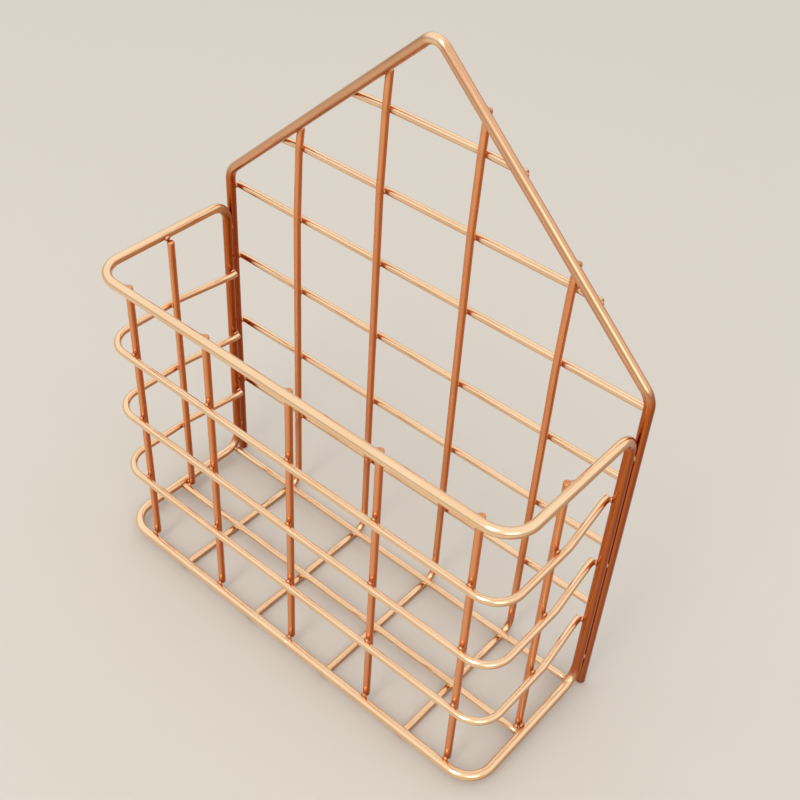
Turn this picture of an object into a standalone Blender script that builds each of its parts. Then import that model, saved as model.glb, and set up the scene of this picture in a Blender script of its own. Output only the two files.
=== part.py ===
"""House-shaped wire desk rack, bent and spot-welded from round wire.

A thick wire bent to the outline of a house stands upright. A second thick wire, one closed
loop, makes the rim, the two rear legs and the base of a letter basket in front of it. Thin
wire fills both in: rails and L-shaped uprights across the back and the floor, hoops and
short uprights round the basket.

Metres. +X is the rack's right-hand side, +Y the back, +Z up. The origin is the middle of
the footprint, on the surface that the rack stands on.
"""

import math

import bmesh
import bpy
from mathutils import Matrix, Vector

# Wire. Welded wires keep a hairline gap here, so that each stays its own solid. A wire welded
# across another ends level with that wire's middle, except at the gable and under the rim.
THICK_WIRE = 0.0040
THIN_WIRE = 0.0030
WELD_GAP = 0.0003
END_CHAMFER = 0.0004

# House-shaped back frame. The two heights are those of the corners that its bends round off.
LEG_SPACING = 0.2000
SHOULDER_HEIGHT = 0.1557
APEX_HEIGHT = 0.2489
SHOULDER_BEND = 0.0100
APEX_BEND = 0.0060
GABLE_END_SETBACK = 0.0015

# Basket
BASKET_INSET = 0.0012
BASKET_DEPTH = 0.0715
RIM_HEIGHT = 0.1425
FRONT_CORNER_BEND = 0.0115
REAR_LEG_BEND = 0.0080
HOOP_COUNT = 3
LOWEST_HOOP_RISE = 0.0356
HOOP_SEAT = 0.0030
HOOP_JOGGLE_LENGTH = 0.0260
HOOP_JOGGLE_BEND = 0.0150
UPRIGHT_TOP_DROP = 0.0013
SIDE_UPRIGHT_SETBACK = 0.0373

# Back and floor grid
BODY_RAIL_COUNT = 4
LOWEST_RAIL_HEIGHT = 0.0421
SHOULDER_RAIL_DROP = 0.0081
GABLE_RAIL_SHARES = (0.261, 0.614)
FRONT_UPRIGHT_COUNT = 5
END_BAY = 0.0164
FLOOR_BEND = 0.0060
REAR_WIRE_SETBACK = 0.0071

# Facets
THICK_SIDES = 16
THIN_SIDES = 12
BEND_STEP = math.radians(10.0)
SMOOTH_ANGLE = math.radians(40.0)
CLOSE_ENOUGH = 1e-6

# Distances between the middles of two wires that are welded together
THICK_R = THICK_WIRE / 2
THIN_R = THIN_WIRE / 2
THICK_ON_THICK = THICK_R + THICK_R + WELD_GAP
THICK_ON_THIN = THICK_R + THIN_R + WELD_GAP
THIN_ON_THIN = THIN_R + THIN_R + WELD_GAP

# Planes, back to front
FRAME_Y = (BASKET_DEPTH + THICK_R - THICK_ON_THIN - THIN_R) / 2
RAIL_Y = FRAME_Y + THICK_ON_THIN
BACK_UPRIGHT_Y = RAIL_Y - THIN_ON_THIN
REAR_LEG_Y = FRAME_Y - math.sqrt(THICK_ON_THICK**2 - BASKET_INSET**2)
REAR_WIRE_Y = FRAME_Y - REAR_WIRE_SETBACK
SIDE_UPRIGHT_Y = FRAME_Y - SIDE_UPRIGHT_SETBACK
MIDDLE_WIRE_Y = SIDE_UPRIGHT_Y - THIN_ON_THIN
FRONT_Y = FRAME_Y - BASKET_DEPTH
FRONT_UPRIGHT_Y = FRONT_Y + THICK_ON_THIN
HOOP_FRONT_Y = FRONT_UPRIGHT_Y - THIN_ON_THIN

# Planes, side to middle
SIDE_X = LEG_SPACING / 2
BASKET_SIDE_X = SIDE_X - BASKET_INSET
INNER_SIDE_X = BASKET_SIDE_X - THICK_ON_THIN
HOOP_SIDE_X = INNER_SIDE_X + THIN_ON_THIN
FLOOR_WIRE_END_X = BASKET_SIDE_X - THICK_R - WELD_GAP
UPRIGHT_PITCH = (LEG_SPACING - 2 * END_BAY) / (FRONT_UPRIGHT_COUNT - 1)

# Levels
FLOOR_Z = THIN_R
CROSS_WIRE_Z = FLOOR_Z + THIN_ON_THIN
BASE_Z = FLOOR_Z + THICK_ON_THIN
HOOP_STEP = (RIM_HEIGHT - BASE_Z - LOWEST_HOOP_RISE) / HOOP_COUNT

# Gable
GABLE_RISE = APEX_HEIGHT - SHOULDER_HEIGHT
GABLE_SLOPE = math.atan2(GABLE_RISE, SIDE_X)

# Rails: evenly spaced up to the shoulders, then at shares of the gable's rise
RAIL_STEP = (SHOULDER_HEIGHT - SHOULDER_RAIL_DROP - LOWEST_RAIL_HEIGHT) / (BODY_RAIL_COUNT - 1)
BODY_RAIL_HEIGHTS = [LOWEST_RAIL_HEIGHT + RAIL_STEP * step for step in range(BODY_RAIL_COUNT)]
GABLE_RAIL_HEIGHTS = [SHOULDER_HEIGHT + GABLE_RISE * share for share in GABLE_RAIL_SHARES]
RAIL_HEIGHTS = BODY_RAIL_HEIGHTS + GABLE_RAIL_HEIGHTS

# Plating, as linear colours: the bright outline wires, and the thin wires that shade each other
ROSE_GOLD = (0.83, 0.43, 0.25)
DEEP_ROSE_GOLD = (0.76, 0.36, 0.19)
PLATING_ROUGHNESS = 0.22


def clear_scene():
    for old in list(bpy.data.objects):
        bpy.data.objects.remove(old, do_unlink=True)


def plating(name, colour):
    """Polished rose-gold plating over steel wire."""
    material = bpy.data.materials.new(name)
    material.use_nodes = True
    material.diffuse_color = (*colour, 1.0)
    shader = material.node_tree.nodes["Principled BSDF"]
    shader.inputs["Base Color"].default_value = (*colour, 1.0)
    shader.inputs["Metallic"].default_value = 1.0
    shader.inputs["Roughness"].default_value = PLATING_ROUGHNESS
    return material


class WireBender:
    """Feeds a round wire straight and bends it round a mandrel, as a forming machine does."""

    def __init__(self, radius, sides, start, heading):
        self.bm = bmesh.new()
        self.radius = radius
        self.at = start
        self.heading = heading
        upward = Vector((0, 0, 1)) if abs(heading.z) < 0.5 else Vector((0, 1, 0))
        axes = Matrix((upward.cross(heading), upward, heading)).transposed().to_4x4()
        flat_up = Matrix.Rotation(math.pi / sides, 4, "Z")
        ring = bmesh.ops.create_circle(
            self.bm,
            segments=sides,
            radius=radius / math.cos(math.pi / sides),
            matrix=Matrix.Translation(start) @ axes @ flat_up,
        )
        self.hold(ring["verts"])

    def hold(self, made):
        """Keep the newest ring of the wire, which the next move draws out."""
        self.verts = {item for item in made if isinstance(item, bmesh.types.BMVert)}
        touching = {edge for vert in self.verts for edge in vert.link_edges}
        self.edges = [edge for edge in touching if self.verts.issuperset(edge.verts)]

    def cap(self):
        bmesh.ops.contextual_create(self.bm, geom=self.edges)

    def set_radius(self, radius):
        """Open or close the newest ring to this wire radius."""
        for vert in self.verts:
            vert.co = self.at + (vert.co - self.at) * (radius / self.radius)
        self.radius = radius

    def feed(self, length):
        if length > CLOSE_ENOUGH:
            drawn = bmesh.ops.extrude_edge_only(self.bm, edges=self.edges)
            self.hold(drawn["geom"])
            step = self.heading * length
            bmesh.ops.translate(self.bm, verts=list(self.verts), vec=step)
            self.at = self.at + step

    def bend(self, heading, radius):
        """Turn to a new heading. The radius is that of the wire's middle line."""
        angle = self.heading.angle(heading)
        axis = self.heading.cross(heading).normalized()
        centre = self.at + axis.cross(self.heading) * radius
        bent = bmesh.ops.spin(
            self.bm,
            geom=self.edges,
            cent=centre,
            axis=axis,
            angle=angle,
            steps=math.ceil(angle / BEND_STEP),
        )
        self.hold(bent["geom_last"])
        self.at = centre + Matrix.Rotation(angle, 3, axis) @ (self.at - centre)
        self.heading = heading

    def run(self, corners, end):
        """Go round each corner, given as its point and its bend radius, and on to the end."""
        targets = [corner for corner, _ in corners[1:]] + [end]
        for (corner, radius), target in zip(corners, targets):
            heading = (target - corner).normalized()
            tangent = radius * math.tan(self.heading.angle(heading) / 2)
            self.feed((corner - self.at).length - tangent)
            self.bend(heading, radius)

    def finish(self, name, material, rack, place):
        bmesh.ops.recalc_face_normals(self.bm, faces=self.bm.faces)
        mesh = bpy.data.meshes.new(name)
        self.bm.to_mesh(mesh)
        self.bm.free()
        mesh.materials.append(material)
        mesh.shade_smooth()
        mesh.set_sharp_from_angle(angle=SMOOTH_ANGLE)
        made = bpy.data.objects.new(name, mesh)
        made.location = place
        made.parent = rack
        bpy.context.scene.collection.objects.link(made)


def points(route):
    """Split a route into its start, its corners with their bend radii, and its end."""
    start, *corners, end = route
    return Vector(start), [(Vector(corner), radius) for corner, radius in corners], Vector(end)


def cut_wire(name, wire, route, material, rack, place=(0, 0, 0)):
    """A wire with two cut ends, each with a small chamfer."""
    start, corners, end = points(route)
    first = corners[0][0] if corners else end
    bender = WireBender(wire["radius"], wire["sides"], start, (first - start).normalized())
    bender.cap()
    bender.set_radius(wire["radius"] - END_CHAMFER)
    bender.feed(END_CHAMFER)
    bender.set_radius(wire["radius"])
    bender.run(corners, end)
    bender.feed((end - bender.at).length - END_CHAMFER)
    bender.feed(END_CHAMFER)
    bender.set_radius(wire["radius"] - END_CHAMFER)
    bender.cap()
    bender.finish(name, material, rack, place)


def looped_wire(name, wire, route, material, rack, place=(0, 0, 0)):
    """A wire whose ends are butt-welded and ground flush, so that it has no end."""
    start, corners, end = points(route)
    bender = WireBender(wire["radius"], wire["sides"], start, (corners[0][0] - start).normalized())
    bender.run(corners, end)
    bender.feed((end - bender.at).length)
    bmesh.ops.remove_doubles(bender.bm, verts=bender.bm.verts, dist=CLOSE_ENOUGH * 10)
    bender.finish(name, material, rack, place)


THICK = {"radius": THICK_R, "sides": THICK_SIDES}
THIN = {"radius": THIN_R, "sides": THIN_SIDES}


def pitches(count):
    """Places across the rack, a pitch apart and centred, from left to right."""
    return [(step - (count - 1) / 2) * UPRIGHT_PITCH for step in range(count)]


def gable_height(x):
    """Height of the frame wire's middle above a place across the rack."""
    return APEX_HEIGHT - GABLE_RISE * abs(x) / SIDE_X


def rail_reach(height):
    """How far a rail reaches from the middle, to end behind a leg or short of the gable wire."""
    if height < SHOULDER_HEIGHT:
        return SIDE_X
    return SIDE_X * (APEX_HEIGHT - height) / GABLE_RISE - GABLE_END_SETBACK


def upright_top(x):
    """Corners and end of a back upright above its last rail.

    It stands in front of the rails and is joggled back to end behind the gable wire's lower
    side. Where its last rail leaves no room for the joggle, it ends under that wire instead.
    """
    crossed = [rail for rail in RAIL_HEIGHTS if rail_reach(rail) > abs(x) - THIN_ON_THIN]
    gable = gable_height(x)
    slope = math.cos(GABLE_SLOPE)
    length = gable - THICK_R / slope - max(crossed)
    if length < math.sqrt(3) * THIN_ON_THIN:
        under = (THICK_R + WELD_GAP) / slope + THIN_R * math.tan(GABLE_SLOPE)
        return [], (0, BACK_UPRIGHT_Y, gable - under)
    radius = (THIN_ON_THIN**2 + length**2) / (4 * THIN_ON_THIN)
    tangent = radius * THIN_ON_THIN / length
    return [
        ((0, BACK_UPRIGHT_Y, max(crossed) + tangent), radius),
        ((0, RAIL_Y, max(crossed) + length - tangent), radius),
    ], (0, RAIL_Y, gable - GABLE_END_SETBACK)


def build_back_frame(rack):
    route = [
        (-SIDE_X, 0, 0),
        ((-SIDE_X, 0, SHOULDER_HEIGHT), SHOULDER_BEND),
        ((0, 0, APEX_HEIGHT), APEX_BEND),
        ((SIDE_X, 0, SHOULDER_HEIGHT), SHOULDER_BEND),
        (SIDE_X, 0, 0),
    ]
    material = plating("frame_plating", ROSE_GOLD)
    cut_wire("back_frame", THICK, route, material, rack, (0, FRAME_Y, 0))


def build_basket_frame(rack):
    """One loop: the rim, down both rear legs, and round the base."""
    route = [
        (0, FRONT_Y, RIM_HEIGHT),
        ((BASKET_SIDE_X, FRONT_Y, RIM_HEIGHT), FRONT_CORNER_BEND),
        ((BASKET_SIDE_X, REAR_LEG_Y, RIM_HEIGHT), REAR_LEG_BEND),
        ((BASKET_SIDE_X, REAR_LEG_Y, BASE_Z), REAR_LEG_BEND),
        ((BASKET_SIDE_X, FRONT_Y, BASE_Z), FRONT_CORNER_BEND),
        ((-BASKET_SIDE_X, FRONT_Y, BASE_Z), FRONT_CORNER_BEND),
        ((-BASKET_SIDE_X, REAR_LEG_Y, BASE_Z), REAR_LEG_BEND),
        ((-BASKET_SIDE_X, REAR_LEG_Y, RIM_HEIGHT), REAR_LEG_BEND),
        ((-BASKET_SIDE_X, FRONT_Y, RIM_HEIGHT), FRONT_CORNER_BEND),
        (0, FRONT_Y, RIM_HEIGHT),
    ]
    looped_wire("basket_frame", THICK, route, plating("basket_plating", ROSE_GOLD), rack)


def build_back_rails(rack):
    material = plating("rail_plating", ROSE_GOLD)
    for number, height in enumerate(RAIL_HEIGHTS, start=1):
        reach = rail_reach(height)
        route = [(-reach, 0, 0), (reach, 0, 0)]
        cut_wire(f"back_rail_{number}", THIN, route, material, rack, (0, RAIL_Y, height))


def build_back_floor_wires(rack):
    """L-shaped wires: upright across the rails, then bent forward to carry the basket."""
    material = plating("back_floor_plating", DEEP_ROSE_GOLD)
    for number, x in enumerate(pitches(FRONT_UPRIGHT_COUNT - 1), start=1):
        corners, top = upright_top(x)
        route = [
            (0, FRONT_Y, FLOOR_Z),
            ((0, BACK_UPRIGHT_Y, FLOOR_Z), FLOOR_BEND),
            *corners,
            top,
        ]
        cut_wire(f"back_floor_wire_{number}", THIN, route, material, rack, (x, 0, 0))


def build_cross_floor_wires(rack):
    """Two wires laid along the rack on the floor wires, inside the base of the basket frame."""
    material = plating("cross_floor_plating", ROSE_GOLD)
    route = [(-FLOOR_WIRE_END_X, 0, 0), (FLOOR_WIRE_END_X, 0, 0)]
    for name, y in (("rear_floor_wire", REAR_WIRE_Y), ("middle_floor_wire", MIDDLE_WIRE_Y)):
        cut_wire(name, THIN, route, material, rack, (0, y, CROSS_WIRE_Z))


def build_hoops(rack):
    """Hoops round the uprights, drawn in at the back to end inside the rear legs."""
    material = plating("hoop_plating", ROSE_GOLD)
    corner_bend = FRONT_CORNER_BEND - (BASKET_SIDE_X - HOOP_SIDE_X)
    seat_y = REAR_LEG_Y - HOOP_SEAT
    joggle_y = seat_y - HOOP_JOGGLE_LENGTH
    route = [
        (-INNER_SIDE_X, REAR_LEG_Y, 0),
        ((-INNER_SIDE_X, seat_y, 0), HOOP_JOGGLE_BEND),
        ((-HOOP_SIDE_X, joggle_y, 0), HOOP_JOGGLE_BEND),
        ((-HOOP_SIDE_X, HOOP_FRONT_Y, 0), corner_bend),
        ((HOOP_SIDE_X, HOOP_FRONT_Y, 0), corner_bend),
        ((HOOP_SIDE_X, joggle_y, 0), HOOP_JOGGLE_BEND),
        ((INNER_SIDE_X, seat_y, 0), HOOP_JOGGLE_BEND),
        (INNER_SIDE_X, REAR_LEG_Y, 0),
    ]
    for number in range(1, HOOP_COUNT + 1):
        height = BASE_Z + LOWEST_HOOP_RISE + HOOP_STEP * (number - 1)
        cut_wire(f"basket_hoop_{number}", THIN, route, material, rack, (0, 0, height))


def build_basket_uprights(rack):
    """Short uprights inside the rim, the hoops and the base."""
    material = plating("upright_plating", DEEP_ROSE_GOLD)
    route = [(0, 0, BASE_Z), (0, 0, RIM_HEIGHT - UPRIGHT_TOP_DROP)]
    for number, x in enumerate(pitches(FRONT_UPRIGHT_COUNT), start=1):
        place = (x, FRONT_UPRIGHT_Y, 0)
        cut_wire(f"front_upright_{number}", THIN, route, material, rack, place)
    for name, x in (("side_upright_left", -INNER_SIDE_X), ("side_upright_right", INNER_SIDE_X)):
        cut_wire(name, THIN, route, material, rack, (x, SIDE_UPRIGHT_Y, 0))


def main():
    clear_scene()
    rack = bpy.data.objects.new("wire_rack", None)
    bpy.context.scene.collection.objects.link(rack)
    build_back_frame(rack)
    build_basket_frame(rack)
    build_back_rails(rack)
    build_back_floor_wires(rack)
    build_cross_floor_wires(rack)
    build_hoops(rack)
    build_basket_uprights(rack)


main()
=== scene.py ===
"""House-shaped wire desk rack in rose-gold plated steel wire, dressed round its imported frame.

Each wire is drawn straight, bent round mandrels and cut, as a forming machine does it. The
crossings are then spot-welded, which leaves a small nugget and a tarnished halo on the plating.
"""

import math
from functools import partial

import bmesh
import bpy
from mathutils import Matrix, Vector
from mathutils.kdtree import KDTree


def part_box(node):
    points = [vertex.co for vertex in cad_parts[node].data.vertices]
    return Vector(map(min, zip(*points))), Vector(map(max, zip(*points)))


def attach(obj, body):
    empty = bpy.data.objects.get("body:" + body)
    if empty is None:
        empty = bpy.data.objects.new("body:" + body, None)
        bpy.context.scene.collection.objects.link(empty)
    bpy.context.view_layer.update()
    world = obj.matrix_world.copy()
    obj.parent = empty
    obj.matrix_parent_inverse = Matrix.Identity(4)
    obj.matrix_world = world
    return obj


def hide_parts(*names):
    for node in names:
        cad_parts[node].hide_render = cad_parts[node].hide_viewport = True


bl_info = {
    "name": "Wire Desk Rack",
    "version": (1, 0, 0),
    "blender": (4, 5, 0),
    "location": "3D View > Sidebar > Wire Rack",
    "description": "Builds a house-shaped desk rack from bent, welded and plated wire",
    "category": "Object",
}

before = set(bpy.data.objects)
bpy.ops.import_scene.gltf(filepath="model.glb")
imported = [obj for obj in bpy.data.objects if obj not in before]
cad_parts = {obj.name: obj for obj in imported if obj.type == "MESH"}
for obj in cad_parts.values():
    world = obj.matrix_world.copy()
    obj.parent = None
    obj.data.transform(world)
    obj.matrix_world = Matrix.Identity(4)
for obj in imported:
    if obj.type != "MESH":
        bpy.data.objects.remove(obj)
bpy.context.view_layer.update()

MM = 0.001
BODY = "root"
RAILS = range(1, 7)
BACK_UPRIGHTS = range(1, 5)
HOOPS = range(1, 4)
FRONT_UPRIGHTS = range(1, 6)
THICK_NODES = ("back_frame", "basket_frame")

THICK_SIDES = 32
THIN_SIDES = 24
BEND_STEP = math.radians(5)
FEED_STEP = 2.5 * MM
END_ROUNDING_STEPS = 3
SMOOTH_ANGLE = math.radians(50)
CLOSE_ENOUGH = 0.001 * MM
SEAM_MERGE = 0.01 * MM
MOSTLY_UPRIGHT = 0.5

# What each point of a wire keeps for the plating: its place across and along the wire in
# millimetres, how hot the welding made it, how steep the wire is there, which sets a painted
# reflection, and how far it faces away from the light, which sets a painted shade.
WIRE_COORDINATES = "wire_mm"
WELD_HEAT = "weld_heat"
WIRE_SLOPE = "wire_slope"
PAINTED_SHADE_SIDE = "far_side"

# The direction from which the light falls on the rack; each wire's far side gets painted shade
PAINTED_LIGHT_FROM = Vector((-0.53, -0.42, 0.74)).normalized()

# Each wire's middle line and its piece, in the order in which the wires are made
paths = {}


def linear(code):
    """An sRGB hex colour as linear values."""
    channels = (int(code[i : i + 2], 16) / 255 for i in (0, 2, 4))
    return tuple(c / 12.92 if c <= 0.04045 else ((c + 0.055) / 1.055) ** 2.4 for c in channels)


def thickness(node):
    """The diameter of a straight wire, or of one bent in the frame's plane."""
    low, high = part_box(node)
    return min(high - low)


def middle(node):
    """The middle of a node's box."""
    low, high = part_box(node)
    return (low + high) / 2


def length(name, default, description):
    """A property for a size."""
    return bpy.props.FloatProperty(
        name=name, default=default, description=description, subtype="DISTANCE", unit="LENGTH"
    )


def colour(name, default, description):
    """A property for a colour, with its default in sRGB hex."""
    return bpy.props.FloatVectorProperty(
        name=name, default=linear(default), description=description, subtype="COLOR", size=3
    )


class RackSizes(bpy.types.PropertyGroup):
    """The rack's gauges, heights, bends and welds"""

    thick_wire: length("Thick wire", thickness("back_frame"), "Diameter of the two outline wires")
    thin_wire: length("Thin wire", thickness("back_rail_1"), "Diameter of the grid wires")
    weld_gap: length("Weld gap", 0.3 * MM, "Space between two crossing wires, filled by the weld")
    shoulder_height: length("Shoulder height", 155.7 * MM, "Where legs and gable lines meet")
    apex_height: length("Apex height", 248.85 * MM, "Where the two gable lines meet")
    shoulder_bend: length("Shoulder bend", 10 * MM, "Bend radius at the shoulders")
    apex_bend: length("Apex bend", 6 * MM, "Bend radius at the apex")
    front_corner_bend: length("Front corner bend", 11.5 * MM, "Bend radius of the basket corners")
    rear_leg_bend: length("Rear leg bend", 8 * MM, "Bend radius at the ends of the rear legs")
    hoop_seat: length("Hoop seat", 3 * MM, "Straight end of a hoop at the rear leg")
    hoop_joggle: length("Hoop joggle", 26 * MM, "Length over which a hoop is drawn in")
    hoop_joggle_bend: length("Joggle bend", 15 * MM, "Bend radius of a hoop's joggle")
    floor_bend: length("Floor bend", 6 * MM, "Bend radius at the foot of a back upright")
    lean_bend: length("Lean bend", 60 * MM, "Bend radius where a back upright starts to lean")
    rail_set_down: length("Rail set-down", 0.9 * MM, "How far an upright sinks into its last rail")
    top_set_down: length("Top set-down", 0.6 * MM, "How far its top sinks into the gable wire")
    end_rounding: length("End rounding", 0.45 * MM, "Radius that tumbling leaves on a cut end")
    nugget: length("Weld nugget", 1.15 * MM, "Radius of a weld nugget round its contact")
    halo: length("Weld halo", 4.5 * MM, "How far the tarnish spreads from a weld")


class RackFinish(bpy.types.PropertyGroup):
    """The colours of the plating, of its painted reflection, and of the floor"""

    bright: colour("Bright plating", "FDDAB2", "Rose gold on the wires that lie level")
    # Painted reflection: upright thin wires mixed deeper, for the dark things they mirror
    deep: colour("Deep plating", "F0A672", "Deeper copper on the thin wires that stand upright")
    # Painted reflection: the legs mixed deepest, for the dark table they mirror
    leg: colour("Leg plating", "C46D36", "Deepest copper, on the legs of the thick wires")
    tarnish: colour("Tarnish", "8E4A26", "Plating round a weld")
    floor: colour("Floor", "D2CBC1", "Studio floor")


class WireBender:
    """Feeds a round wire and bends it round mandrels. Wire coordinates are kept on each ring."""

    def __init__(self, radius, sides, start, heading):
        self.bm = bmesh.new()
        self.coordinates = self.bm.verts.layers.float_vector.new(WIRE_COORDINATES)
        self.bm.verts.layers.float.new(WELD_HEAT)
        self.slope = self.bm.verts.layers.float.new(WIRE_SLOPE)
        self.radius = radius
        self.at = start
        self.heading = heading
        self.travelled = 0.0
        self.path = [start.copy()]
        level = abs(heading.z) < MOSTLY_UPRIGHT
        upward = Vector((0, 0, 1)) if level else Vector((0, 1, 0))
        axes = Matrix((upward.cross(heading), upward, heading)).transposed().to_4x4()
        ring = bmesh.ops.create_circle(
            self.bm, segments=sides, radius=radius, matrix=Matrix.Translation(start) @ axes
        )
        for vert in ring["verts"]:
            across = axes.transposed() @ (vert.co - start)
            vert[self.coordinates] = Vector((across.x, across.y, 0)) / MM
            vert[self.slope] = heading.z**2
        self.hold(ring["verts"])

    def hold(self, made):
        """Keep the newest ring of the wire, which the next move draws out."""
        self.verts = [item for item in made if isinstance(item, bmesh.types.BMVert)]
        held = set(self.verts)
        touching = {edge for vert in held for edge in vert.link_edges}
        self.edges = [edge for edge in touching if held.issuperset(edge.verts)]

    def cap(self):
        """Close the newest ring with a flat face."""
        bmesh.ops.contextual_create(self.bm, geom=self.edges)

    def set_radius(self, radius):
        """Open or close the newest ring to this wire radius."""
        for vert in self.verts:
            vert.co = self.at + (vert.co - self.at) * (radius / self.radius)
        self.radius = radius

    def draw(self, step, advance):
        """Extrude the newest ring, move it by the step, and note how much wire has passed."""
        drawn = bmesh.ops.extrude_edge_only(self.bm, edges=self.edges)
        self.hold(drawn["geom"])
        step()
        self.travelled += advance
        for vert in self.verts:
            here = vert[self.coordinates]
            vert[self.coordinates] = Vector((here.x, here.y, self.travelled / MM))
            vert[self.slope] = self.heading.z**2
        self.path.append(self.at.copy())

    def feed(self, distance, most=FEED_STEP):
        """Draw a straight length of wire, in steps that are no longer than the most."""
        if distance < CLOSE_ENOUGH:
            return
        steps = math.ceil(distance / most)
        move = self.heading * (distance / steps)

        def step():
            bmesh.ops.translate(self.bm, verts=self.verts, vec=move)
            self.at = self.at + move

        for _ in range(steps):
            self.draw(step, distance / steps)

    def bend(self, heading, radius):
        """Turn to a new heading. The radius is that of the wire's middle line."""
        angle = self.heading.angle(heading)
        axis = self.heading.cross(heading).normalized()
        centre = self.at + axis.cross(self.heading) * radius
        steps = math.ceil(angle / BEND_STEP)
        turn = Matrix.Rotation(angle / steps, 3, axis)

        def step():
            bmesh.ops.rotate(self.bm, cent=centre, matrix=turn, verts=self.verts)
            self.at = centre + turn @ (self.at - centre)
            self.heading = turn @ self.heading

        for _ in range(steps):
            self.draw(step, radius * angle / steps)
        self.heading = heading

    def run(self, corners, end):
        """Go round each corner, given as its point and its bend radius, and on to the end."""
        targets = [corner for corner, _ in corners[1:]] + [end]
        for (corner, radius), target in zip(corners, targets):
            heading = (target - corner).normalized()
            tangent = radius * math.tan(self.heading.angle(heading) / 2)
            self.feed((corner - self.at).length - tangent)
            self.bend(heading, radius)

    def round_off(self, wire_radius, rounding, closing):
        """The tumbled edge of a cut end, opening from the cap or closing to it."""
        angles = [math.pi / 2 * step / END_ROUNDING_STEPS for step in range(END_ROUNDING_STEPS + 1)]
        if not closing:
            angles.reverse()
        self.set_radius(wire_radius - rounding * (1 - math.cos(angles[0])))
        for before, after in zip(angles, angles[1:]):
            self.feed(rounding * abs(math.sin(after) - math.sin(before)), rounding)
            self.set_radius(wire_radius - rounding * (1 - math.cos(after)))


def split(route):
    """Split a route into its start, its corners with their bend radii, and its end."""
    start, *corners, end = route
    return Vector(start), [(Vector(corner), radius) for corner, radius in corners], Vector(end)


def gauge(sizes, node):
    """Radius and number of sides of the wire that a node is made from."""
    if node in THICK_NODES:
        return sizes.thick_wire / 2, THICK_SIDES
    return sizes.thin_wire / 2, THIN_SIDES


def finish_piece(bm, name):
    """Make a piece from its mesh, noting how far each point turns from the light, for painted
    shade.
    """
    bmesh.ops.recalc_face_normals(bm, faces=bm.faces)
    bm.normal_update()
    far_side = bm.verts.layers.float.new(PAINTED_SHADE_SIDE)
    for vert in bm.verts:
        vert[far_side] = (1 - vert.normal.dot(PAINTED_LIGHT_FROM)) / 2
    mesh = bpy.data.meshes.new(name)
    bm.to_mesh(mesh)
    bm.free()
    mesh.shade_smooth()
    mesh.set_sharp_from_angle(angle=SMOOTH_ANGLE)
    piece = bpy.data.objects.new(name, mesh)
    bpy.context.scene.collection.objects.link(piece)
    return piece


def cut_wire(node, route, sizes):
    """A wire with two cut ends, tumbled round before plating."""
    radius, sides = gauge(sizes, node)
    start, corners, end = split(route)
    first = corners[0][0] if corners else end
    bender = WireBender(radius, sides, start, (first - start).normalized())
    bender.set_radius(radius - sizes.end_rounding)
    bender.cap()
    bender.round_off(radius, sizes.end_rounding, closing=False)
    bender.run(corners, end)
    bender.feed((end - bender.at).length - sizes.end_rounding)
    bender.round_off(radius, sizes.end_rounding, closing=True)
    bender.cap()
    return keep_wire(node, bender)


def looped_wire(node, route, sizes):
    """A wire whose ends are butt-welded and ground flush."""
    radius, sides = gauge(sizes, node)
    start, corners, end = split(route)
    bender = WireBender(radius, sides, start, (corners[0][0] - start).normalized())
    bender.run(corners, end)
    bender.feed((end - bender.at).length)
    bmesh.ops.remove_doubles(bender.bm, verts=bender.bm.verts, dist=SEAM_MERGE)
    return keep_wire(node, bender)


def keep_wire(node, bender):
    """Put a bent wire in its node's place, and keep its path for the welding."""
    piece = finish_piece(bender.bm, f"plated_{node}")
    paths[node] = (bender.path, piece)
    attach(piece, BODY)
    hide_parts(node)
    return piece


def straight_route(node):
    """From end to end along a straight wire's box."""
    low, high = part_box(node)
    start, end = middle(node), middle(node)
    longest = max(range(3), key=lambda axis: high[axis] - low[axis])
    start[longest] = low[longest]
    end[longest] = high[longest]
    return [start, end]


def frame_side(sizes):
    """How far the legs' middle lines stand from the middle of the rack."""
    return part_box("back_frame")[1].x - sizes.thick_wire / 2


def gable_height(x, sizes):
    """The height of the gable wire's middle line at a place across the rack."""
    rise = sizes.apex_height - sizes.shoulder_height
    return sizes.apex_height - rise * abs(x) / frame_side(sizes)


def gable_reach(height, sizes):
    """How far from the middle of the rack the gable wire's middle line is at a height."""
    rise = sizes.apex_height - sizes.shoulder_height
    return frame_side(sizes) * (sizes.apex_height - height) / rise


def behind_gable(sizes):
    """Where a thin wire lies once its weld has sunk it into the gable wire's rear."""
    touching = middle("back_frame").y + (sizes.thick_wire + sizes.thin_wire) / 2
    return touching - sizes.top_set_down


def rail_route(node, sizes):
    """Straight behind the uprights. Under the gable the ends are drawn up to the gable wire.

    The right end comes out on the gable wire's middle line, so its tip shows from the right.
    """
    start, end = straight_route(node)
    if start.z > sizes.shoulder_height:
        uprights = [abs(middle(f"back_floor_wire_{n}").x) for n in BACK_UPRIGHTS]
        crossing = max(x for x in uprights if x < end.x)
        left, right = Vector((-crossing, end.y, end.z)), Vector((crossing, end.y, end.z))
        start.y = end.y = behind_gable(sizes)
        end.x = gable_reach(end.z, sizes)
        return [start, (left, sizes.lean_bend), (right, sizes.lean_bend), end]
    return [start, end]


def frame_route(sizes):
    """Up one leg, over both slopes of the gable, and down the other leg."""
    low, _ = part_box("back_frame")
    side = frame_side(sizes)
    y = middle("back_frame").y
    return [
        (-side, y, low.z),
        ((-side, y, sizes.shoulder_height), sizes.shoulder_bend),
        ((0, y, sizes.apex_height), sizes.apex_bend),
        ((side, y, sizes.shoulder_height), sizes.shoulder_bend),
        (side, y, low.z),
    ]


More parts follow.
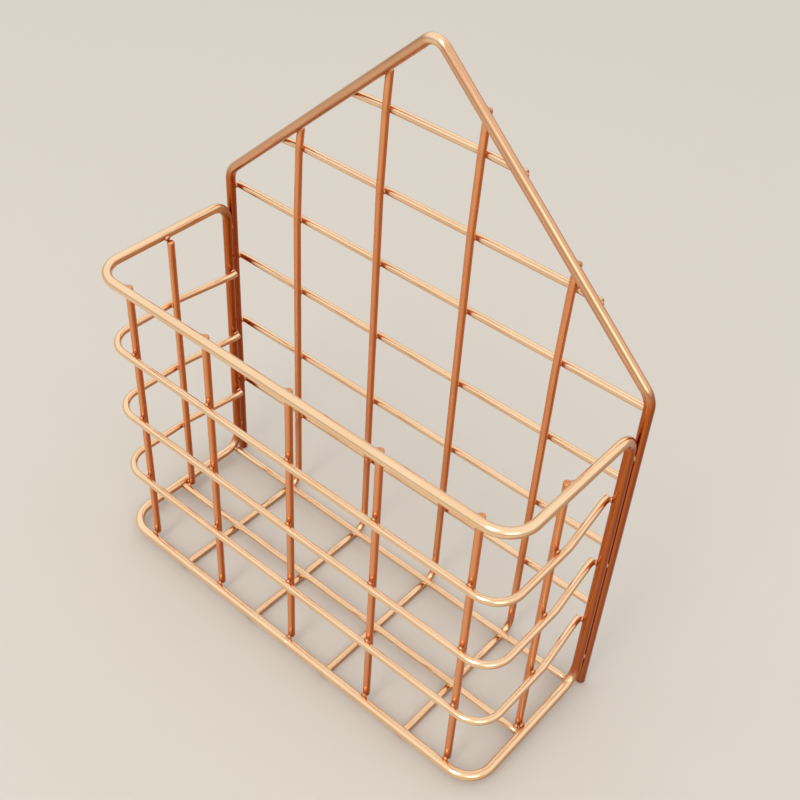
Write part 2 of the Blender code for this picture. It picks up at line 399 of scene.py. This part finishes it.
def basket_route(sizes):
    """The rim, down both rear legs, and round the base, closed at the middle of the base."""
    low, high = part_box("basket_frame")
    radius = sizes.thick_wire / 2
    side, front, rear = high.x - radius, low.y + radius, high.y - radius
    base, rim = low.z + radius, high.z - radius
    corner, leg = sizes.front_corner_bend, sizes.rear_leg_bend
    return [
        (0, front, base),
        ((side, front, base), corner),
        ((side, rear, base), leg),
        ((side, rear, rim), leg),
        ((side, front, rim), corner),
        ((-side, front, rim), corner),
        ((-side, rear, rim), leg),
        ((-side, rear, base), leg),
        ((-side, front, base), corner),
        (0, front, base),
    ]


def back_floor_route(node, sizes):
    """Under the basket, up in front of the rails, and leaning back to end behind the gable.

    From the last rail but one the wire leans through its rail, as deep as the weld lets it sink.
    """
    low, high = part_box(node)
    x = middle(node).x
    rail_y = middle("back_rail_1").y
    upright_y = rail_y - sizes.thin_wire - sizes.weld_gap
    floor = low.z + sizes.thin_wire / 2
    reach = {middle(f"back_rail_{n}").z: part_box(f"back_rail_{n}")[1].x for n in RAILS}
    crossed = sorted(height for height, end in reach.items() if end > abs(x) - sizes.thin_wire)
    sunk = rail_y - sizes.thin_wire + sizes.rail_set_down
    top = gable_height(x, sizes) if x > 0 else high.z
    return [
        (x, low.y, floor),
        ((x, upright_y, floor), sizes.floor_bend),
        ((x, upright_y, crossed[-2]), sizes.lean_bend),
        ((x, sunk, crossed[-1]), sizes.lean_bend),
        (x, behind_gable(sizes), top),
    ]


def hoop_route(node, sizes):
    """Round the uprights, drawn in at the back to end inside the rear legs."""
    low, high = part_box(node)
    z = middle(node).z
    radius = sizes.thin_wire / 2
    side, front, end = high.x - radius, low.y + radius, high.y
    inner = side - sizes.thin_wire - sizes.weld_gap
    corner = sizes.front_corner_bend - (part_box("basket_frame")[1].x - sizes.thick_wire / 2 - side)
    seat = end - sizes.hoop_seat
    joggle = seat - sizes.hoop_joggle
    return [
        (-inner, end, z),
        ((-inner, seat, z), sizes.hoop_joggle_bend),
        ((-side, joggle, z), sizes.hoop_joggle_bend),
        ((-side, front, z), corner),
        ((side, front, z), corner),
        ((side, joggle, z), sizes.hoop_joggle_bend),
        ((inner, seat, z), sizes.hoop_joggle_bend),
        (inner, end, z),
    ]


# Sockets of a colour mix, by number, because their names repeat
MIX_SHARE, MIX_FIRST, MIX_SECOND, MIX_RESULT = 0, 6, 7, 2


def add_node(tree, kind, settings=None, links=None):
    """Add a node, set its properties and its sockets, and link sockets into it."""
    node = tree.nodes.new(kind)
    for name, value in (settings or {}).items():
        if isinstance(name, str) and hasattr(node, name):
            setattr(node, name, value)
        else:
            node.inputs[name].default_value = value
    for name, socket in (links or {}).items():
        tree.links.new(socket, node.inputs[name])
    return node


def new_material(name):
    """An empty material and its node tree."""
    material = bpy.data.materials.new(name)
    material.use_nodes = True
    material.node_tree.nodes.clear()
    return material, material.node_tree


# Bright-drawn mild steel wire, copper-struck and electroplated in rose gold. Plating follows the
# metal under it, so the eye sees the die lines of the drawing as faint streaks in the highlights,
# slow dents from straightening, and a brown halo at each weld, where heat and flux dull it.
# Real die lines are some hundredths of a millimetre apart; they are drawn wider, so as to show.
# In the photograph the upright wires mirror dark surroundings and look a deeper copper than the
# level ones. Over the pale floor a deeper copper, mixed in by the square of the slope, is a painted
# reflection of those surroundings. Each wire is lighter there on its upper left than on its far
# side. A deeper copper on the side that faces away from the light is painted shade for that.
DIE_LINE_WIDTH_MM = 0.6
DIE_LINE_LENGTH_MM = 30
DIE_LINE_DEPTH = 0.002 * MM
DIE_LINE_CONTRAST = (0.3, 0.7)
STRAIGHTENING_MM = 22
STRAIGHTENING_DEPTH = 0.12 * MM
TONE_PATCH_MM = 35
TONE_PATCH_EDGES = (0.35, 0.65)
TONE_PATCH_CHANGE = (0.96, 0.92, 0.88)
# Where the painted shade on the side away from the light starts and ends, and how it darkens
PAINTED_SHADE_EDGES = (0.42, 0.68)
PAINTED_SHADE_CHANGE = (0.59, 0.39, 0.25)
PITTING_MM = 0.5
POLISHED_ROUGHNESS = 0.14
STREAKED_ROUGHNESS = 0.19
BURNT_ROUGHNESS = 0.3


def plating_colour(node, finish, deep, burnt):
    """Bright to deep by slope, a painted reflection, and uneven in patches.

    Deeper on the side away from the light, a painted shade, and brown at welds.
    """
    place = node("ShaderNodeTexCoord")
    slope = node("ShaderNodeAttribute", {"attribute_name": WIRE_SLOPE})
    far_side = node("ShaderNodeAttribute", {"attribute_name": PAINTED_SHADE_SIDE})
    # Painted reflection: deeper copper by the square of the slope, for dark things uprights mirror
    plating = node(
        "ShaderNodeMix",
        {"data_type": "RGBA", MIX_FIRST: (*finish.bright, 1), MIX_SECOND: (*deep, 1)},
        {MIX_SHARE: slope.outputs["Fac"]},
    )
    patches = node(
        "ShaderNodeTexNoise",
        {"Scale": 1 / (TONE_PATCH_MM * MM), "Detail": 2},
        {"Vector": place.outputs["Object"]},
    )
    patch = node(
        "ShaderNodeMapRange",
        {"From Min": TONE_PATCH_EDGES[0], "From Max": TONE_PATCH_EDGES[1]},
        {"Value": patches.outputs["Fac"]},
    )
    uneven = node(
        "ShaderNodeMix",
        {"data_type": "RGBA", "blend_type": "MULTIPLY", MIX_SECOND: (*TONE_PATCH_CHANGE, 1)},
        {MIX_SHARE: patch.outputs["Result"], MIX_FIRST: plating.outputs[MIX_RESULT]},
    )
    # Painted shade: deeper copper on the side that turns away from the light
    shade_share = node(
        "ShaderNodeMapRange",
        {
            "interpolation_type": "SMOOTHSTEP",
            "From Min": PAINTED_SHADE_EDGES[0],
            "From Max": PAINTED_SHADE_EDGES[1],
        },
        {"Value": far_side.outputs["Fac"]},
    )
    shade_painted = node(
        "ShaderNodeMix",
        {"data_type": "RGBA", "blend_type": "MULTIPLY", MIX_SECOND: (*PAINTED_SHADE_CHANGE, 1)},
        {MIX_SHARE: shade_share.outputs["Result"], MIX_FIRST: uneven.outputs[MIX_RESULT]},
    )
    stained = node(
        "ShaderNodeMix",
        {"data_type": "RGBA", MIX_SECOND: (*finish.tarnish, 1)},
        {MIX_SHARE: burnt, MIX_FIRST: shade_painted.outputs[MIX_RESULT]},
    )
    return stained.outputs[MIX_RESULT]


def burnt_share(node):
    """How far a weld has burnt the plating, broken up by pitting."""
    place = node("ShaderNodeTexCoord")
    heat = node("ShaderNodeAttribute", {"attribute_name": WELD_HEAT})
    pitting = node(
        "ShaderNodeTexNoise",
        {"Scale": 1 / (PITTING_MM * MM), "Detail": 2},
        {"Vector": place.outputs["Object"]},
    )
    burnt = node(
        "ShaderNodeMath",
        {"operation": "MULTIPLY"},
        {0: heat.outputs["Fac"], 1: pitting.outputs["Fac"]},
    )
    return burnt.outputs["Value"]


def drawn_surface(node, burnt):
    """Die lines and straightening dents, as a roughness and a normal."""
    wire = node("ShaderNodeAttribute", {"attribute_name": WIRE_COORDINATES})
    across, along = 1 / DIE_LINE_WIDTH_MM, 1 / DIE_LINE_LENGTH_MM
    drawn = node(
        "ShaderNodeMapping", {"Scale": (across, across, along)}, {"Vector": wire.outputs["Vector"]}
    )
    die_lines = node(
        "ShaderNodeTexNoise", {"Scale": 1, "Detail": 2}, {"Vector": drawn.outputs["Vector"]}
    )
    dents = node(
        "ShaderNodeTexNoise",
        {"Scale": 1 / STRAIGHTENING_MM, "Detail": 1},
        {"Vector": wire.outputs["Vector"]},
    )
    polish = node(
        "ShaderNodeMapRange",
        {
            "From Min": DIE_LINE_CONTRAST[0],
            "From Max": DIE_LINE_CONTRAST[1],
            "To Min": POLISHED_ROUGHNESS,
            "To Max": STREAKED_ROUGHNESS,
        },
        {"Value": die_lines.outputs["Fac"]},
    )
    roughness = node(
        "ShaderNodeMath",
        {"operation": "MULTIPLY_ADD", 1: BURNT_ROUGHNESS},
        {0: burnt, 2: polish.outputs["Result"]},
    )
    dented = node(
        "ShaderNodeBump", {"Distance": STRAIGHTENING_DEPTH}, {"Height": dents.outputs["Fac"]}
    )
    lined = node(
        "ShaderNodeBump",
        {"Distance": DIE_LINE_DEPTH},
        {"Height": die_lines.outputs["Fac"], "Normal": dented.outputs["Normal"]},
    )
    return roughness.outputs["Value"], lined.outputs["Normal"]


def plated_wire(name, finish, deep):
    """Electroplated rose gold over drawn steel wire, with painted reflection and shade in its
    colour.
    """
    material, tree = new_material(name)
    node = partial(add_node, tree)
    burnt = burnt_share(node)
    roughness, normal = drawn_surface(node, burnt)
    shader = node(
        "ShaderNodeBsdfPrincipled",
        {"Metallic": 1},
        {
            "Base Color": plating_colour(node, finish, deep, burnt),
            "Roughness": roughness,
            "Normal": normal,
        },
    )
    node("ShaderNodeOutputMaterial", None, {"Surface": shader.outputs["BSDF"]})
    return material


def coat(pieces, name, finish, deep=None):
    """Give like pieces one plating."""
    material = plated_wire(name, finish, deep or finish.deep)
    for piece in pieces:
        piece.data.materials.append(material)


class MakeBackFrame(bpy.types.Operator):
    """Bend the house-shaped back frame from one thick wire"""

    bl_idname = "wire_rack.back_frame"
    bl_label = "Back Frame"

    def execute(self, context):
        sizes, finish = context.scene.rack_sizes, context.scene.rack_finish
        piece = cut_wire("back_frame", frame_route(sizes), sizes)
        # The legs take the deepest copper of the painted reflection
        coat([piece], "rose_gold_plated_frame_wire", finish, finish.leg)
        return {"FINISHED"}


class MakeBasketFrame(bpy.types.Operator):
    """Bend the basket's rim, rear legs and base from one closed thick wire"""

    bl_idname = "wire_rack.basket_frame"
    bl_label = "Basket Frame"

    def execute(self, context):
        sizes, finish = context.scene.rack_sizes, context.scene.rack_finish
        piece = looped_wire("basket_frame", basket_route(sizes), sizes)
        # The rear legs take the deepest copper of the painted reflection
        coat([piece], "rose_gold_plated_basket_wire", finish, finish.leg)
        return {"FINISHED"}


class MakeBackRails(bpy.types.Operator):
    """Cut the straight rails across the back"""

    bl_idname = "wire_rack.back_rails"
    bl_label = "Back Rails"

    def execute(self, context):
        sizes, finish = context.scene.rack_sizes, context.scene.rack_finish
        nodes = [f"back_rail_{number}" for number in RAILS]
        pieces = [cut_wire(node, rail_route(node, sizes), sizes) for node in nodes]
        coat(pieces, "rose_gold_plated_rail_wire", finish)
        return {"FINISHED"}


class MakeBackFloorWires(bpy.types.Operator):
    """Bend the wires that stand across the back and run forward under the basket"""

    bl_idname = "wire_rack.back_floor_wires"
    bl_label = "Back and Floor Wires"

    def execute(self, context):
        sizes, finish = context.scene.rack_sizes, context.scene.rack_finish
        nodes = [f"back_floor_wire_{number}" for number in BACK_UPRIGHTS]
        pieces = [cut_wire(node, back_floor_route(node, sizes), sizes) for node in nodes]
        coat(pieces, "rose_gold_plated_back_floor_wire", finish)
        return {"FINISHED"}


class MakeCrossFloorWires(bpy.types.Operator):
    """Cut the two wires laid along the floor"""

    bl_idname = "wire_rack.cross_floor_wires"
    bl_label = "Cross Floor Wires"

    def execute(self, context):
        sizes, finish = context.scene.rack_sizes, context.scene.rack_finish
        nodes = ["rear_floor_wire", "middle_floor_wire"]
        pieces = [cut_wire(node, straight_route(node), sizes) for node in nodes]
        coat(pieces, "rose_gold_plated_cross_floor_wire", finish)
        return {"FINISHED"}


class MakeHoops(bpy.types.Operator):
    """Bend the hoops round the basket"""

    bl_idname = "wire_rack.hoops"
    bl_label = "Basket Hoops"

    def execute(self, context):
        sizes, finish = context.scene.rack_sizes, context.scene.rack_finish
        nodes = [f"basket_hoop_{number}" for number in HOOPS]
        pieces = [cut_wire(node, hoop_route(node, sizes), sizes) for node in nodes]
        coat(pieces, "rose_gold_plated_hoop_wire", finish)
        return {"FINISHED"}


class MakeBasketUprights(bpy.types.Operator):
    """Cut the short uprights inside the basket"""

    bl_idname = "wire_rack.basket_uprights"
    bl_label = "Basket Uprights"

    def execute(self, context):
        sizes, finish = context.scene.rack_sizes, context.scene.rack_finish
        nodes = [f"front_upright_{number}" for number in FRONT_UPRIGHTS]
        nodes += ["side_upright_left", "side_upright_right"]
        pieces = [cut_wire(node, straight_route(node), sizes) for node in nodes]
        coat(pieces, "rose_gold_plated_upright_wire", finish)
        return {"FINISHED"}


# Contacts between two wires are looked for at each contact step, and count up to this slack past
# the weld gap. A run of them may miss a single point. Two wires that run side by side for longer
# than the seam length are tacked at both ends and in the middle.
CONTACT_STEP = 0.5 * MM
CONTACT_SLACK = 0.45 * MM
LONGEST_SKIP = 2
SEAM_LENGTH = 12 * MM
TACK_PLACES = (0.06, 0.5, 0.94)
# A nugget's height as a share of its width, and the heat and slope that give it its colour: the
# slope mixes in half of the painted reflection's deeper copper
NUGGET_THICKNESS = 0.65
NUGGET_HEAT = 0.5
NUGGET_SLOPE = 0.5
NUGGET_SUBDIVISIONS = 2


def sampled(path):
    """The points of a path at the contact spacing, each with the wire's direction there."""
    found = []
    for start, end in zip(path, path[1:]):
        steps = max(1, round((end - start).length / CONTACT_STEP))
        heading = (end - start).normalized()
        found += [(start.lerp(end, step / steps), heading) for step in range(steps)]
    return found


def nearest_tree(samples):
    """A search tree over the points of some samples."""
    tree = KDTree(len(samples))
    for index, (point, *_) in enumerate(samples):
        tree.insert(point, index)
    tree.balance()
    return tree


def runs_of(close):
    """Split the indices of close points into unbroken runs."""
    runs = []
    for index in close:
        if runs and index - runs[-1][-1] <= LONGEST_SKIP:
            runs[-1].append(index)
        else:
            runs.append([index])
    return runs


def contacts(first, second, tree, reach):
    """Where two sampled wires touch: a point on each, and the first wire's direction."""
    near = {}
    for index, (point, _) in enumerate(first):
        found, other, distance = tree.find(point)
        if distance < reach:
            near[index] = (distance, found)
    places = []
    for run in runs_of(sorted(near)):
        if len(run) * CONTACT_STEP > SEAM_LENGTH:
            picks = [run[int(share * (len(run) - 1))] for share in TACK_PLACES]
        else:
            picks = [min(run, key=lambda index: near[index][0])]
        places += [(first[pick][0], near[pick][1], first[pick][1]) for pick in picks]
    return places


def weld_places(sizes):
    """Each weld's middle, its axes as a turn, and the sum of its two wires' radii."""
    wires = [(gauge(sizes, node)[0], sampled(path)) for node, (path, _) in paths.items()]
    trees = [nearest_tree(samples) for _, samples in wires]
    places = []
    for index, (radius, samples) in enumerate(wires):
        for other in range(index + 1, len(wires)):
            other_radius, other_samples = wires[other]
            reach = radius + other_radius + sizes.weld_gap + CONTACT_SLACK
            for here, there, heading in contacts(samples, other_samples, trees[other], reach):
                across = (there - here).normalized()
                centre = here + across * (radius + sizes.weld_gap / 2)
                side = across.cross(heading).normalized()
                axes = Matrix((heading, side, across)).transposed().to_4x4()
                places.append((centre, axes, radius + other_radius))
    return places


def make_nuggets(places, sizes):
    """A flattened bead of melted metal in each weld, larger between thicker wires."""
    bm = bmesh.new()
    coordinates = bm.verts.layers.float_vector.new(WIRE_COORDINATES)
    heat = bm.verts.layers.float.new(WELD_HEAT)
    slope = bm.verts.layers.float.new(WIRE_SLOPE)
    for centre, axes, radii in places:
        size = sizes.nugget * radii / sizes.thin_wire
        scale = Matrix.Diagonal((size, size, size * NUGGET_THICKNESS, 1))
        bmesh.ops.create_icosphere(
            bm,
            subdivisions=NUGGET_SUBDIVISIONS,
            radius=1,
            matrix=Matrix.Translation(centre) @ axes @ scale,
        )
    for vert in bm.verts:
        vert[coordinates] = vert.co / MM
        vert[heat] = NUGGET_HEAT
        vert[slope] = NUGGET_SLOPE
    return finish_piece(bm, "weld_nuggets")


def burn_halos(places, sizes):
    """Note on each wire how near its points are to a weld."""
    tree = nearest_tree(places)
    for _, piece in paths.values():
        heat = piece.data.attributes[WELD_HEAT].data
        for vert in piece.data.vertices:
            share = max(0.0, 1 - tree.find(vert.co)[2] / sizes.halo)
            heat[vert.index].value = share * share


class WeldCrossings(bpy.types.Operator):
    """Spot-weld every crossing: a nugget in each contact, and a halo of tarnish round it"""

    bl_idname = "wire_rack.weld"
    bl_label = "Weld Crossings"

    def execute(self, context):
        sizes, finish = context.scene.rack_sizes, context.scene.rack_finish
        places = weld_places(sizes)
        nuggets = make_nuggets(places, sizes)
        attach(nuggets, BODY)
        coat([nuggets], "rose_gold_plated_weld_nugget", finish)
        burn_halos(places, sizes)
        return {"FINISHED"}


class MakeStage(bpy.types.Operator):
    """Lay a pale floor, hang soft studio lamps and set up the camera"""

    bl_idname = "wire_rack.stage"
    bl_label = "Stage"

    def execute(self, context):
        make_floor(context.scene.rack_finish)
        make_lamps()
        make_sky()
        make_camera()
        return {"FINISHED"}


# A board under matt paint, put on with a roller. The eye sees no gloss, and a fine grain. The
# radius is in metres, so that in a low view the edge lies at the horizon.
FLOOR_RADIUS = 40
FLOOR_SEGMENTS = 96
FLOOR_DROP = 0.02 * MM
FLOOR_ROUGHNESS = 0.9
ROLLER_GRAIN_MM = 1.5
ROLLER_GRAIN_DEPTH = 0.02 * MM
ROLLER_GRAIN_STRENGTH = 0.1


def make_floor(finish):
    """The board that the rack stands on, a hair below it."""
    bm = bmesh.new()
    bmesh.ops.create_circle(bm, cap_ends=True, segments=FLOOR_SEGMENTS, radius=FLOOR_RADIUS)
    mesh = bpy.data.meshes.new("studio_floor")
    bm.to_mesh(mesh)
    bm.free()
    floor = bpy.data.objects.new("studio_floor", mesh)
    floor.location.z = -FLOOR_DROP
    bpy.context.scene.collection.objects.link(floor)
    mesh.materials.append(painted_board(finish))


def painted_board(finish):
    """Matt paint with the grain of a roller."""
    material, tree = new_material("matte_painted_board")
    node = partial(add_node, tree)
    place = node("ShaderNodeTexCoord")
    grain = node(
        "ShaderNodeTexNoise",
        {"Scale": 1 / (ROLLER_GRAIN_MM * MM), "Detail": 2},
        {"Vector": place.outputs["Object"]},
    )
    bump = node(
        "ShaderNodeBump",
        {"Strength": ROLLER_GRAIN_STRENGTH, "Distance": ROLLER_GRAIN_DEPTH},
        {"Height": grain.outputs["Fac"]},
    )
    shader = node(
        "ShaderNodeBsdfPrincipled",
        {"Base Color": (*finish.floor, 1), "Roughness": FLOOR_ROUGHNESS},
        {"Normal": bump.outputs["Normal"]},
    )
    node("ShaderNodeOutputMaterial", None, {"Surface": shader.outputs["BSDF"]})
    return material


TARGET = Vector((0, 0, 0.1))
# Direction to the lamp, distance, width and height in metres, and power in watts
LAMPS = {
    "front_strip": ((0.05, -0.62, 0.78), 1.5, 0.4, 1.2, 5.2),
    "side_softbox": ((0.72, -0.45, 0.53), 1.5, 0.7, 0.7, 2),
}


def make_lamps():
    """A tall strip high in front of the rack, and a square softbox to the front right."""
    for name, (direction, distance, width, height, power) in LAMPS.items():
        data = bpy.data.lights.new(name, "AREA")
        data.shape = "RECTANGLE"
        data.size = width
        data.size_y = height
        data.energy = power
        lamp = bpy.data.objects.new(name, data)
        lamp.location = TARGET + Vector(direction).normalized() * distance
        lamp.rotation_euler = (TARGET - lamp.location).to_track_quat("-Z", "Y").to_euler()
        bpy.context.scene.collection.objects.link(lamp)


# Colour of the studio's light, its strength from the walls and from the ceiling, and the
# heights, as a share of the sky's, between which one turns into the other. The greyer walls
# draw a darker edge on the level wires, as a room does.
STUDIO_LIGHT = (1, 0.99, 0.98)
WALL_LEVEL = 0.45
CEILING_LEVEL = 1.0
WALL_HEIGHT = 0.05
CEILING_HEIGHT = 0.38


def make_sky():
    """Soft light from a bright ceiling, with greyer walls."""
    world = bpy.data.worlds.new("studio")
    bpy.context.scene.world = world
    world.use_nodes = True
    world.node_tree.nodes.clear()
    node = partial(add_node, world.node_tree)
    place = node("ShaderNodeTexCoord")
    axes = node("ShaderNodeSeparateXYZ", None, {"Vector": place.outputs["Generated"]})
    level = node(
        "ShaderNodeMapRange",
        {
            "From Min": WALL_HEIGHT,
            "From Max": CEILING_HEIGHT,
            "To Min": WALL_LEVEL,
            "To Max": CEILING_LEVEL,
        },
        {"Value": axes.outputs["Z"]},
    )
    background = node(
        "ShaderNodeBackground",
        {"Color": (*STUDIO_LIGHT, 1)},
        {"Strength": level.outputs["Result"]},
    )
    node("ShaderNodeOutputWorld", None, {"Surface": background.outputs["Background"]})


# The photograph's camera, worked out from the wires: its place from the middle of the back
# frame at the base wire's level, its turns in degrees, and its lens for a square picture.
CAMERA_PLACE = Vector((0.21818, -0.28376, 0.40823))
CAMERA_YAW = 37.90
CAMERA_PITCH = 41.13
CAMERA_ROLL = 4.12
FOCAL_PIXELS = 1198.19
CENTRE_PIXELS = (404.81, 384.32)
PICTURE_PIXELS = 800
SENSOR_WIDTH_MM = 36
NEAREST_SEEN = 10 * MM


def make_camera():
    """The camera at the photograph's place and viewing angle."""
    data = bpy.data.cameras.new("photo_camera")
    data.sensor_width = SENSOR_WIDTH_MM
    data.sensor_fit = "HORIZONTAL"
    data.lens = FOCAL_PIXELS / PICTURE_PIXELS * SENSOR_WIDTH_MM
    data.shift_x = (PICTURE_PIXELS / 2 - CENTRE_PIXELS[0]) / PICTURE_PIXELS
    data.shift_y = (CENTRE_PIXELS[1] - PICTURE_PIXELS / 2) / PICTURE_PIXELS
    data.clip_start = NEAREST_SEEN
    yaw, pitch, roll = map(math.radians, (CAMERA_YAW, CAMERA_PITCH, CAMERA_ROLL))
    turn = Matrix.Rotation(yaw, 4, "Z") @ Matrix.Rotation(math.pi / 2 - pitch, 4, "X")
    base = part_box("basket_frame")[0].z + thickness("back_frame") / 2
    origin = Vector((0, middle("back_frame").y, base))
    camera = bpy.data.objects.new("photo_camera", data)
    place = Matrix.Translation(origin + CAMERA_PLACE)
    camera.matrix_world = place @ turn @ Matrix.Rotation(roll, 4, "Z")
    bpy.context.scene.collection.objects.link(camera)
    bpy.context.scene.camera = camera


STEPS = (
    MakeBackFrame,
    MakeBasketFrame,
    MakeBackRails,
    MakeBackFloorWires,
    MakeCrossFloorWires,
    MakeHoops,
    MakeBasketUprights,
    WeldCrossings,
    MakeStage,
)


class WireRackPanel(bpy.types.Panel):
    """The rack's sizes, its finish and the steps that build it"""

    bl_idname = "VIEW3D_PT_wire_rack"
    bl_label = "Wire Desk Rack"
    bl_space_type = "VIEW_3D"
    bl_region_type = "UI"
    bl_category = "Wire Rack"

    def draw(self, context):
        for group in (context.scene.rack_sizes, context.scene.rack_finish):
            box = self.layout.box()
            for name in type(group).__annotations__:
                box.prop(group, name)
        for step in STEPS:
            self.layout.operator(step.bl_idname)


CLASSES = (RackSizes, RackFinish, *STEPS, WireRackPanel)


def register():
    """Add the rack's classes and its properties to Blender."""
    for cls in CLASSES:
        bpy.utils.register_class(cls)
    bpy.types.Scene.rack_sizes = bpy.props.PointerProperty(type=RackSizes)
    bpy.types.Scene.rack_finish = bpy.props.PointerProperty(type=RackFinish)


def unregister():
    """Take the rack's properties and classes out again."""
    del bpy.types.Scene.rack_finish
    del bpy.types.Scene.rack_sizes
    for cls in reversed(CLASSES):
        bpy.utils.unregister_class(cls)


def main():
    """Build the rack and its stage."""
    register()
    bpy.context.scene.view_settings.view_transform = "Standard"
    bpy.ops.wire_rack.back_frame()
    bpy.ops.wire_rack.basket_frame()
    bpy.ops.wire_rack.back_rails()
    bpy.ops.wire_rack.back_floor_wires()
    bpy.ops.wire_rack.cross_floor_wires()
    bpy.ops.wire_rack.hoops()
    bpy.ops.wire_rack.basket_uprights()
    bpy.ops.wire_rack.weld()
    bpy.ops.wire_rack.stage()


if __name__ == "__main__":
    main()
